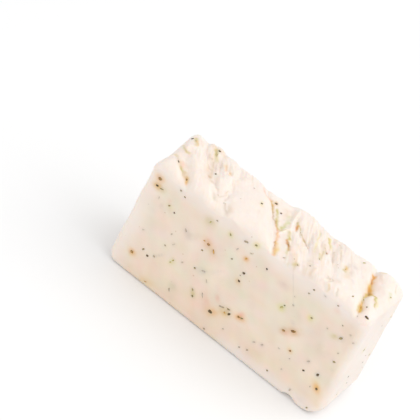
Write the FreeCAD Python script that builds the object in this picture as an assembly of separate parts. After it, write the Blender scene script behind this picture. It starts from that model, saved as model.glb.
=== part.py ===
# A hand-cut bar of soap: one slice of a poured loaf, standing on the face that lay in the mould.
# +X runs along the bar, +Y away from the front cut face and +Z up to the swirled top of the loaf.
# The origin is the centre of the base. Sizes are in millimetres and angles in degrees.
import FreeCAD, Part
import math
import os
from FreeCAD import Vector

# The slice, cut a little higher at its right end
LENGTH = 90.0
THICKNESS = 25.0
HEIGHT_LEFT = 46.6
HEIGHT_RIGHT = 48.6
LEFT_END_LEAN = 1.6

# Edges softened by hand after the cut
LEFT_CORNER_ROUND = 2.0
RIGHT_CORNER_ROUND = 3.2
LEFT_FOOT_ROUND = 3.8
RIGHT_FOOT_ROUND = 6.5
BASE_EDGE_ROUND = 1.4

# The roll of the top down to the sides, and how round it runs past the corners
LIP_DROP = 2.2
LIP_REACH = 6.0
LIP_CORNER_ROUND = 5.5

# The chip out of the front base edge
CHIP_FROM_RIGHT = 12.4
CHIP_RADIUS = 4.0
CHIP_DEPTH = 1.7

# The swirled top: a spoon drew the thick batter from the back left to the front right
STROKE_ANGLE = -53.0
FOLD_FLATNESS = 1.2
FOLD_SHARPNESS = 6.0
NET_PITCH = 2.6
NET_MARGIN = 6.0
ROOM_ABOVE = 15.0

# Folds of batter: place from the bar's centre, half length along the stroke, half width across it, rise
FOLDS = [
    (-41.5, 7.0, 7.0, 5.0, 1.4),
    (-39.5, -9.5, 7.0, 4.0, 1.3),
    (-33.5, 10.0, 6.0, 4.0, 2.2),
    (-34.5, -0.5, 9.0, 3.6, 1.5),
    (-26.5, -9.0, 9.0, 4.6, 1.8),
    (-22.3, -1.5, 4.5, 3.2, 1.9),
    (-25.5, 6.5, 6.5, 4.0, 1.6),
    (-17.5, 6.5, 9.0, 4.6, 1.4),
    (-8.5, -5.0, 15.0, 7.0, 1.7),
    (4.5, 9.5, 10.0, 4.2, 2.0),
    (9.5, -6.5, 10.0, 3.0, 1.2),
    (15.0, 2.0, 13.0, 3.6, 1.6),
    (24.5, 3.5, 10.0, 4.4, 1.6),
    (22.0, -9.0, 8.0, 4.6, 1.2),
    (31.0, -6.0, 12.0, 4.8, 1.5),
    (32.0, 7.0, 8.0, 4.0, 0.7),
    (40.5, 5.5, 8.5, 4.6, 2.0),
    (43.5, -8.0, 8.0, 4.4, 1.1),
]

# Creases where folds meet: points along each, then its half width and depth
CREASES = [
    ([(-41.5, -2.5), (-36.5, -6.6), (-31.2, -13.0)], 1.7, 1.3),
    ([(-35.0, 11.0), (-28.5, 1.0), (-25.5, -4.0), (-15.0, -12.0)], 1.5, 1.0),
    ([(-12.5, 10.5), (-4.5, 1.8), (3.5, -8.5), (6.5, -14.5)], 1.5, 1.3),
    ([(4.8, -1.0), (9.5, -9.0), (14.5, -14.5)], 1.5, 1.0),
    ([(33.5, 13.0), (35.2, 4.5), (37.8, -1.5), (38.3, -6.5), (41.0, -14.5)], 1.7, 2.0),
    ([(3.5, 5.5), (7.0, 1.0), (11.5, -1.8)], 1.3, 0.7),
    ([(16.5, 7.5), (18.5, 2.5), (21.5, -3.5)], 1.3, 0.6),
]

# The curled rim where one fold breaks over the next: points along it, half width and rise
RIM_PATH = [(1.0, 8.6), (2.7, 3.2), (3.4, -1.2), (2.2, -4.6)]
RIM_HALF_WIDTH = 1.0
RIM_RISE = 0.9


def slab(top):
    """The slice as it comes off the wire: flat cut faces, the left end leaning in, upright corners rounded."""
    half = LENGTH / 2
    slope = LEFT_END_LEAN / (HEIGHT_LEFT - LEFT_FOOT_ROUND)
    low_left = Vector(-half - slope * LEFT_FOOT_ROUND, -THICKNESS / 2, 0)
    high_left = Vector(-half + slope * (top - LEFT_FOOT_ROUND), -THICKNESS / 2, top)
    low_right, high_right = Vector(half, -THICKNESS / 2, 0), Vector(half, -THICKNESS / 2, top)
    outline = Part.makePolygon([low_left, low_right, high_right, high_left, low_left])
    block = Part.Face(outline).extrude(Vector(0, THICKNESS, 0))
    for side, radius in ((-1, LEFT_CORNER_ROUND), (1, RIGHT_CORNER_ROUND)):
        upright = [e for e in block.Edges if e.BoundBox.ZLength > top / 2 and side * e.CenterOfMass.x > 0]
        block = block.makeFillet(radius, upright)
    return block


def trough(half_width, first_round, last_round, top):
    """A flat-bottomed outline in X and Z with its two lower corners rounded, closed at the height top."""
    def foot(side, radius):
        centre = Vector(side * (half_width - radius), 0, radius)
        diagonal = radius * math.cos(math.radians(45))
        return (
            centre + Vector(side * radius, 0, 0),
            centre + Vector(side * diagonal, 0, -diagonal),
            centre + Vector(0, 0, -radius),
        )

    first, last = foot(-1, first_round), foot(1, last_round)
    top_first, top_last = Vector(-half_width, 0, top), Vector(half_width, 0, top)
    return Part.Face(Part.Wire([
        Part.LineSegment(top_first, first[0]).toShape(),
        Part.Arc(*first).toShape(),
        Part.LineSegment(first[2], last[2]).toShape(),
        Part.Arc(*reversed(last)).toShape(),
        Part.LineSegment(last[0], top_last).toShape(),
        Part.LineSegment(top_last, top_first).toShape(),
    ]))


def round_the_base(block, top):
    """Rounds the base: large at the two ends, small along the front and back edges."""
    ends = trough(LENGTH / 2, LEFT_FOOT_ROUND, RIGHT_FOOT_ROUND, top)
    ends.translate(Vector(0, -THICKNESS, 0))
    block = block.common(ends.extrude(Vector(0, 2 * THICKNESS, 0)))
    sides = trough(THICKNESS / 2, BASE_EDGE_ROUND, BASE_EDGE_ROUND, top)
    sides.rotate(Vector(0, 0, 0), Vector(0, 0, 1), 90)
    sides.translate(Vector(-LENGTH, 0, 0))
    return block.common(sides.extrude(Vector(2 * LENGTH, 0, 0)))


def chip_the_edge(block):
    """A small piece broken out of the front base edge."""
    edge = Vector(LENGTH / 2 - CHIP_FROM_RIGHT, -THICKNESS / 2, 0)
    away = (CHIP_RADIUS - CHIP_DEPTH) / math.sqrt(2)
    return block.cut(Part.makeSphere(CHIP_RADIUS, edge - Vector(0, away, away)))


def fold_rise(x, y):
    """The merged height of all folds: flat-topped domes that a high power mean melts into one another."""
    c, s = math.cos(math.radians(STROKE_ANGLE)), math.sin(math.radians(STROKE_ANGLE))
    total = 0.0
    for fx, fy, along, across, rise in FOLDS:
        u = ((x - fx) * c + (y - fy) * s) / along
        v = (-(x - fx) * s + (y - fy) * c) / across
        total += (rise * math.exp(-(u * u + v * v) ** FOLD_FLATNESS)) ** FOLD_SHARPNESS
    return total ** (1 / FOLD_SHARPNESS)


def way_to_path(x, y, path):
    """The distance from a point to a path of straight runs."""
    nearest = math.inf
    for (x0, y0), (x1, y1) in zip(path, path[1:]):
        dx, dy = x1 - x0, y1 - y0
        share = ((x - x0) * dx + (y - y0) * dy) / (dx * dx + dy * dy)
        share = max(0.0, min(1.0, share))
        nearest = min(nearest, math.hypot(x - x0 - share * dx, y - y0 - share * dy))
    return nearest


def crease_depth(x, y):
    """How far the creases sink the top: a smooth valley along each path."""
    return max(deep * math.exp(-(way_to_path(x, y, path) / wide) ** 2) for path, wide, deep in CREASES)


def rim_rise(x, y):
    """How far the curled rim stands up: a smooth ridge along its path."""
    return RIM_RISE * math.exp(-(way_to_path(x, y, RIM_PATH) / RIM_HALF_WIDTH) ** 2)


def lip_drop(x, y):
    """How far the top rolls down towards its outline: a parabola, carried on as a straight slope past it."""
    out_x = abs(x) - LENGTH / 2 + LIP_CORNER_ROUND
    out_y = abs(y) - THICKNESS / 2 + LIP_CORNER_ROUND
    past = math.hypot(max(out_x, 0.0), max(out_y, 0.0)) + min(max(out_x, out_y), 0.0) - LIP_CORNER_ROUND
    share = max(0.0, 1 + past / LIP_REACH)
    if share < 1:
        return LIP_DROP * share * share
    return LIP_DROP * (2 * share - 1)


def top_height(x, y):
    """The height of the swirled top over a point of the base."""
    level = HEIGHT_LEFT + (HEIGHT_RIGHT - HEIGHT_LEFT) * (x / LENGTH + 0.5)
    return level + fold_rise(x, y) + rim_rise(x, y) - crease_depth(x, y) - lip_drop(x, y)


def even_knots(poles, degree):
    """The knots and their counts of a spline whose ends lie on its first and last poles."""
    spans = poles - degree
    return list(range(spans + 1)), [degree + 1] + [1] * (spans - 1) + [degree + 1]


def top_surface():
    """A smooth surface whose control net is the top's height, worked out on an even grid past the outline."""
    wide, deep = LENGTH + 2 * NET_MARGIN, THICKNESS + 2 * NET_MARGIN
    columns, rows = round(wide / NET_PITCH) + 1, round(deep / NET_PITCH) + 1
    xs = [wide * (i / (columns - 1) - 0.5) for i in range(columns)]
    ys = [deep * (j / (rows - 1) - 0.5) for j in range(rows)]
    net = [[Vector(x, y, top_height(x, y)) for y in ys] for x in xs]
    degree = 3
    u_knots, u_counts = even_knots(columns, degree)
    v_knots, v_counts = even_knots(rows, degree)
    surface = Part.BSplineSurface()
    surface.buildFromPolesMultsKnots(net, u_counts, v_counts, u_knots, v_knots, False, False, degree, degree)
    return surface


def soap_bar():
    """The whole bar: the softened slice, cut off along the swirled top."""
    top = max(HEIGHT_LEFT, HEIGHT_RIGHT) + ROOM_ABOVE
    block = chip_the_edge(round_the_base(slab(top), top))
    above = top_surface().toShape().extrude(Vector(0, 0, 2 * top))
    return block.cut(above)


bar = soap_bar()
os.makedirs("parts", exist_ok=True)
bar.exportStep("parts/soap_bar.step")
print("solids", len(bar.Solids), "valid", bar.isValid(), "volume", round(bar.Volume), "box", bar.BoundBox)
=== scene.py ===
"""A hand-cut bar of soap, poured with dried herbs and petals and swirled on top, for a studio still.

Run as a script it makes the bar, its flecks, the studio and the camera in that order. Sizes in the lists are
millimetres: x runs along the bar, y away from the front cut face and z up from the base.
"""
import math

import bmesh
import bpy
import numpy as np
from bpy.props import FloatProperty, FloatVectorProperty, IntProperty, PointerProperty
from mathutils import Matrix, Vector


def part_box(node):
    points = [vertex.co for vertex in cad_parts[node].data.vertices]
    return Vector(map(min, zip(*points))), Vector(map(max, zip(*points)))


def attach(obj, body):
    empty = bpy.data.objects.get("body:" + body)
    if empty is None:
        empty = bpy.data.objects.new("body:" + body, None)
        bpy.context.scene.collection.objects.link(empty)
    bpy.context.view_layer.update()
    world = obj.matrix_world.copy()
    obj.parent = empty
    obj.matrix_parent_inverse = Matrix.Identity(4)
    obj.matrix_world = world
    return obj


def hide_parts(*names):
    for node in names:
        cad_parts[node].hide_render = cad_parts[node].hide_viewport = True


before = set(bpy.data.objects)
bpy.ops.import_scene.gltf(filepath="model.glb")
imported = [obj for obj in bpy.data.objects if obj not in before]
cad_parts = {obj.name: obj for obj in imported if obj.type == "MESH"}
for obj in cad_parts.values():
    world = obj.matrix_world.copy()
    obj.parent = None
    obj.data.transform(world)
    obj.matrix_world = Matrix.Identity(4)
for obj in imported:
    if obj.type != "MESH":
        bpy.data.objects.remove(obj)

bl_info = {
    "name": "Bar of soap",
    "version": (1, 0, 0),
    "blender": (4, 5, 0),
    "location": "View3D > Sidebar > Soap",
    "description": "Makes a hand-cut bar of soap with a swirled top and flecks of herb and petal",
    "category": "Add Mesh",
}

MM = 0.001
NODE = "soap_bar"
BODY = "root"
HIGH_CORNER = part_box(NODE)[1]
HALF_LENGTH = HIGH_CORNER.x / MM
HALF_THICKNESS = HIGH_CORNER.y / MM
PEAK = HIGH_CORNER.z / MM

# The bar's mesh: the spacing of its grid, and its rows of points in the feet, the walls and the base
GRID_STEP = 0.27
FOOT_ROWS = 10
WALL_ROWS = 46
BASE_ROWS = 4

# Points of a mesh that lie nearer than this, in metres, are merged
MERGE_DISTANCE = 1e-6

# The base stands this far above the floor, so that its flecks can stand above it too
BASE_LIFT = 0.1
LEAST_FLECK_HEIGHT = 0.2 * BASE_LIFT

# The chip out of the front base edge
CHIP_X = 32.6
CHIP_RADIUS = 4.0
CHIP_DEPTH = 1.7

# The deepest dents of the long cut faces and of the ends, and what sets the noise of two faces apart
FACE_DENT = 0.16
END_DENT = 0.22
SIDES_APART = 100.0

# The swirled top: a spoon drew the thick batter from the back left to the front right
STROKE_ANGLE = math.radians(-53.0)
FOLD_FLATNESS = 2.0
FOLD_SHARPNESS = 9.0
FOLD_WANDER = 0.3
FINE_RISE = 0.03
LIP_UNEVENNESS = 0.18

# The comb's ridges and the threads of colour: their turn from the stroke, and how far it drew them out
COMB_DRAW = (-0.12, 6.0)
THREAD_DRAW = (-0.1, 9.0)

# Where the spoon combed most, and where the comb shows again: middles along x, and how far it reaches
COMB_X = 15.0
LEFT_COMB_X = -27.0
COMB_REACH = 11.0

# How far a stain wanders from its line, and the share by which its strength varies
STAIN_WANDER = 0.14
STAIN_UNEVENNESS = 0.16

# The noises by their use: seed, shortest and longest wave
WAVES = 24
NOISES = {
    "wander x": (3, 5.0, 12.0),
    "wander y": (4, 5.0, 12.0),
    "fine": (5, 1.5, 5.0),
    "lip": (6, 9.0, 22.0),
    "comb": (11, 1.5, 3.0),
    "face dents": (21, 9.0, 30.0),
    "end dents": (22, 8.0, 22.0),
    "stain edges": (31, 1.5, 3.5),
    "stain patches": (32, 4.0, 8.0),
    "stain wander x": (33, 1.5, 4.0),
    "stain wander y": (34, 1.5, 4.0),
    "dark threads": (51, 0.7, 1.8),
    "rosy threads": (52, 1.0, 2.8),
    "rosy clouds": (61, 5.0, 14.0),
    "green clouds": (62, 4.0, 11.0),
    "dark clouds": (63, 4.0, 16.0),
}

# Changes of red, green and blue: by the noises, towards the left end and low down
CHANGES = {
    "dark threads": (0.024, 0.034, 0.06),
    "rosy threads": (0.004, 0.0, -0.012),
    "rosy clouds": (0.010, -0.010, -0.006),
    "green clouds": (-0.008, 0.004, -0.012),
    "dark clouds": (0.014, 0.014, 0.014),
    "left end": (0.02, 0.03, 0.04),
    "low down": (0.012, -0.03, -0.065),
}

# A fleck: the corners of its ring, their unevenness in angle and reach, and how far it stands out
FLAKE_CORNERS = 9
FLAKE_POINTS = FLAKE_CORNERS + 2
FLAKE_SWAY = 0.25
FLAKE_UNEVENNESS = 0.22
FLAKE_PROUD = 0.012
FLAKE_CROWN = 0.35

# The least that skin faces the side that a fleck is meant for, as a cosine
LEAST_FACING = 0.15

# Each kind of fleck: its piece, the darker and the lighter of its colours, and how rough it is
FLECK_KINDS = {
    "herb": ("herb_flecks", (0.25, 0.195, 0.085), (0.46, 0.37, 0.17), 0.75),
    "petal": ("petal_flecks", (0.30, 0.15, 0.045), (0.54, 0.33, 0.12), 0.6),
    "flame": ("flame_flecks", (0.50, 0.24, 0.04), (0.78, 0.46, 0.12), 0.6),
    "seed": ("seed_flecks", (0.065, 0.045, 0.02), (0.19, 0.13, 0.055), 0.55),
    "crumb": ("crumb_flecks", (0.42, 0.33, 0.22), (0.60, 0.49, 0.345), 0.8),
    "chaff": ("chaff_flecks", (0.56, 0.465, 0.365), (0.73, 0.625, 0.515), 0.75),
    "leaf": ("leaf_flecks", (0.44, 0.38, 0.12), (0.66, 0.58, 0.25), 0.7),
}

# Flecks scattered over the other faces: how often each face and kind comes up, how far from the face's
# middle they lie, and the height of that middle
HIDDEN_FACES = {"back": 0.56, "left": 0.14, "right": 0.10, "base": 0.20}
HIDDEN_KINDS = {"herb": 0.24, "seed": 0.22, "petal": 0.16, "chaff": 0.2, "crumb": 0.18}
HIDDEN_SPANS = {"back": (42.0, 20.0), "left": (9.2, 18.0), "right": (9.2, 18.0), "base": (36.0, 10.0)}
HIDDEN_MIDDLE = PEAK * 0.47

# The way each of the other faces looks
OUTWARD = {
    "back": (0.0, 1.0, 0.0),
    "left": (-1.0, 0.0, 0.0),
    "right": (1.0, 0.0, 0.0),
    "base": (0.0, 0.0, -1.0),
}

# The halo of a scattered fleck by its kind: colour, strength and spread
HALOS = {
    "petal": ("orange", 0.7, 1.3),
    "herb": ("straw", 0.4, 1.2),
    "crumb": ("grey", 0.3, 1.6),
}

# Colour ramps of the soap's material: its mottling, its blush and its specks
WHITE = (1.0, 1.0, 1.0)
MOTTLING = [(0.3, (0.955, 0.95, 0.945)), (0.5, (0.985, 0.98, 0.975)), (0.72, WHITE)]
BLUSH = [(0.45, WHITE), (0.75, (1.0, 0.975, 0.955))]
SPECKS = [(0.0, (0.30, 0.25, 0.18)), (0.5, (0.42, 0.37, 0.20)), (0.8, (0.55, 0.32, 0.16))]

# The studio, in metres: the lamps' places and sizes, what they shine at, and the floor's half size and glow
KEY_PLACE = (0.55, 0.15, 1.05)
KEY_SIZE = 1.2
FILL_PLACE = (-0.10, -1.2, 0.40)
FILL_SIZE = 0.9
LAMP_AIM = (0.0, 0.0, 0.022)
FLOOR_HALF = 6.0
FLOOR_GLOW = 0.05

# The camera: the width of its sensor in millimetres, and in metres where the middle of the picture lies,
# right and up in it from a point on the bar's upright middle line
SENSOR_WIDTH = 36.0
AIM_HEIGHT = 0.0225
AIM_RIGHT = -0.014304
AIM_UP = 0.021525

# Folds of batter: place from the bar's centre, half length along the stroke, half width across it, rise
FOLDS = [
    (-41.5, 7, 7, 5, 1.4),
    (-39.5, -9.5, 7, 4, 1.3),
    (-33.5, 10, 6, 4, 2.2),
    (-34.5, -0.5, 9, 3.6, 1.5),
    (-26.5, -9, 9, 4.6, 1.8),
    (-22.3, -1.5, 4.5, 3, 1.9),
    (-25.5, 6.5, 6.5, 4, 1.6),
    (-17.5, 6.5, 9, 4.6, 1.4),
    (-8.5, -5, 15, 7, 1.7),
    (4.5, 9.5, 10, 4.2, 2),
    (9.5, -6.5, 10, 3, 1.2),
    (15, 2, 13, 3.6, 1.6),
    (24.5, 3.5, 10, 4.4, 1.6),
    (22, -9, 8, 4.6, 1.2),
    (31, -6, 12, 4.8, 1.5),
    (32, 7, 8, 4, 0.7),
    (40.5, 5.5, 8.5, 4.6, 2),
    (43.5, -8, 8, 4.4, 1.1),
]

# Creases where folds meet: points along each, then its half width and depth
CREASES = [
    ([(-42, -4), (-38.4, -7.4), (-34.4, -9.2), (-30.8, -11), (-28.6, -13.8)], 0.9, 0.75),
    ([(-35, 11), (-29.2, 0.4), (-26.6, -4.8), (-15, -12)], 1.2, 0.4),
    ([(-12.5, 10.5), (-4.5, 1.8), (3.5, -8.5), (6.5, -14.5)], 1, 0.75),
    ([(4.8, -1), (9.5, -9), (14.5, -14.5)], 1, 0.6),
    ([(33.5, 13), (35, 4.5), (37.2, -1.5), (37.7, -6.2), (40.4, -14)], 1, 1.2),
]

# Fine grooves that the spoon combed into the batter: start, end, half width and depth
GROOVES = [
    ((-33, 4.5), (-29.5, 0), 0.5, 0.2),
    ((-31, 6), (-27.5, 3.5), 0.5, 0.2),
    ((-26, 5), (-23, 2.5), 0.6, 0.25),
    ((-20.5, 1), (-18.5, -5), 0.6, 0.3),
    ((-21.5, -6), (-18.8, -5), 0.5, 0.25),
    ((-17, -8), (-14.5, -11), 0.5, 0.2),
    ((-21.5, 8.5), (-19, 4), 0.6, 0.2),
    ((-17.5, 7), (-15.5, 3), 0.5, 0.15),
    ((3.2, 6), (5.8, 0.8), 0.6, 0.5),
    ((4.6, 5), (11.5, -1.5), 0.6, 0.35),
    ((5, 9), (7.5, 4), 0.5, 0.2),
    ((8, 8), (11.5, 1), 0.5, 0.1),
    ((11, 8), (15.3, -3), 0.5, 0.14),
    ((14, 6.5), (18, -3.5), 0.5, 0.3),
    ((15.5, 7.5), (18.2, 1), 0.5, 0.3),
    ((17.5, 2.5), (20.5, -4.5), 0.5, 0.22),
    ((19, 5), (21.5, -1), 0.5, 0.25),
    ((20.5, 6.5), (23, 3), 0.5, 0.25),
    ((18.3, 9.5), (19.8, 6.5), 0.5, 0.25),
    ((23.5, 2), (24.5, -1.5), 0.4, 0.2),
    ((40, -2), (42.4, -6.2), 0.5, 0.35),
    ((16, -6.5), (19, -9), 0.7, 0.25),
    ((23.5, -8.5), (26.8, -12.5), 0.6, 0.3),
    ((26.2, 1), (29.3, -2.2), 0.7, 0.3),
    ((28.2, 4), (29.6, 1.4), 0.6, 0.25),
    ((24.2, -8), (25.2, -9.8), 0.35, 0.2),
    ((29.2, -9.8), (30.6, -11.6), 0.4, 0.25),
    ((-22, -8), (-20.2, -9.6), 0.5, 0.3),
    ((35.6, 7.5), (37.4, 4.6), 0.7, 0.4),
]

# Curled rims of batter: points along each, half width and rise
RIMS = [
    ([(1, 8.6), (2.7, 3.2), (3.4, -1.2), (2.2, -4.6)], 0.7, 0.6),
    ([(-26, 1), (-24.5, 2.8), (-21.4, 1.6), (-19, -3.2), (-19.4, -6.2)], 0.5, 0.35),
    ([(-41.8, 2.6), (-40.6, 0.4), (-37.8, -0.6)], 0.6, 0.4),
    ([(12.6, -1), (10.4, -4.2), (12.6, -8.2)], 0.6, 0.35),
    ([(29.6, -7.6), (25.6, -8), (24.6, -10.6)], 0.5, 0.35),
]

# Small blisters and pebbles of batter: place, radius and rise
BLISTERS = [
    (27.8, -10, 1.9, 0.8),
    (24.4, -9.8, 1.1, 0.4),
    (30.5, -11.4, 1.2, 0.4),
    (26.8, -0.6, 0.9, 0.4),
    (18.6, -8.4, 1, 0.4),
    (20.2, -9.4, 0.9, 0.3),
    (1.2, 1.6, 1.6, 0.5),
    (-16.5, -5.5, 1.1, 0.35),
    (-26.8, 1.4, 2, 0.5),
    (-18.5, 5, 1.3, 0.4),
    (12.5, -10.4, 1.3, 0.4),
    (16.4, -11, 1.6, 0.45),
    (-32.4, -7.6, 3.2, 0.45),
    (25.9, -10.6, 0.8, 0.35),
    (29, -11.6, 0.9, 0.35),
    (22.6, -10.8, 1, 0.3),
]

# Colours that the herbs and petals have bled into the soap, as the base colour of the shader. The shade
# colour is no bleed: on the top it is painted shade in creases, grooves and hollows, on the front cut face a
# darker tone
BLEED = {
    "orange": (0.84, 0.48, 0.15),
    "rust": (0.68, 0.31, 0.085),
    "brown": (0.50, 0.30, 0.13),
    "olive": (0.62, 0.53, 0.22),
    "green": (0.68, 0.67, 0.44),
    "tan": (0.78, 0.63, 0.48),
    "pink": (0.90, 0.62, 0.52),
    "coral": (0.87, 0.55, 0.42),
    "golden": (0.72, 0.45, 0.09),
    "amber": (0.50, 0.23, 0.02),
    "straw": (0.80, 0.72, 0.34),
    "lilac": (0.74, 0.63, 0.58),
    # Painted shade in the top's creases, grooves and hollows, and a plain darker tone on the front cut face
    "shade": (0.68, 0.58, 0.47),
    "grey": (0.66, 0.58, 0.51),
}
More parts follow.
